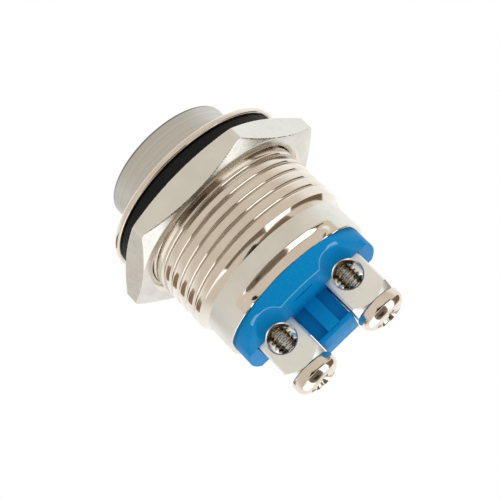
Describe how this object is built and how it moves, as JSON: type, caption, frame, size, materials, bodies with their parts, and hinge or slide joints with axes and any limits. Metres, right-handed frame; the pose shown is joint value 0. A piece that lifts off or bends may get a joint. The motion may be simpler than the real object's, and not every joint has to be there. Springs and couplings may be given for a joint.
{
  "type": "pushbutton switch",
  "caption": "Panel-mount round metal pushbutton switch: raised spring-return button, threaded barrel with gasket and hex nut, blue base with screw terminals for wires.",
  "frame": {"origin": "centre of the flange's rear face, on the switch's axis, where the flange clamps its gasket to the front of a panel", "axes": "+Z along the axis out of the button towards the user, +X through the two terminals, wire holes open towards -Y"},
  "size_m": [0.0216, 0.0196, 0.0245],
  "materials": {
    "plated_brass": "bright nickel plate",
    "brushed_cap": "fine brushed",
    "plated_screw": "bright nickel plate",
    "blue_plastic": "satin moulded",
    "white_plastic": "satin moulded",
    "black_rubber": "matte",
    "spring_steel": "drawn wire",
    "bare_brass": "rolled strip",
    "silver_contact": "silver alloy"
  },
  "bodies": {
    "body": {"housing": "plated_brass", "panel_gasket": "black_rubber", "base_seal": "black_rubber", "base": "blue_plastic", "terminal_post_a": "plated_brass", "terminal_post_b": "plated_brass", "fixed_contact_a": "silver_contact", "fixed_contact_b": "silver_contact", "return_spring": "spring_steel"},
    "button": {"button_cap": "brushed_cap", "button_seal": "black_rubber", "plunger": "white_plastic", "bridge_clip": "spring_steel", "contact_spring": "spring_steel"},
    "bridge": {"contact_bridge": "bare_brass", "bridge_contact_a": "silver_contact", "bridge_contact_b": "silver_contact"},
    "nut": {"panel_nut": "plated_brass"},
    "screw_a": {"terminal_screw_a": "plated_screw"},
    "screw_b": {"terminal_screw_b": "plated_screw"}
  },
  "joints": [
    {"name": "button_press", "type": "slide", "parent": "body", "child": "button", "axis": [0, 0, -1], "range_m": [0, 0.0022], "stiffness_N_per_m": 900, "springref_m": -0.0009, "deforming": ["return_spring", "contact_spring"]},
    {"name": "bridge_travel", "type": "slide", "parent": "body", "child": "bridge", "axis": [0, 0, -1], "range_m": [0, 0.00168]},
    {"name": "nut_travel", "type": "slide", "parent": "body", "child": "nut", "axis": [0, 0, -1], "range_m": [0, 0.005]},
    {"name": "screw_a_travel", "type": "slide", "parent": "body", "child": "screw_a", "axis": [0, 0, -1], "range_m": [0, 0.0028]},
    {"name": "screw_b_travel", "type": "slide", "parent": "body", "child": "screw_b", "axis": [0, 0, -1], "range_m": [0, 0.0028]}
  ],
  "couplings": [
    {"joint": "bridge_travel", "follows": "button_press", "ratio": 0.7636}
  ]
}
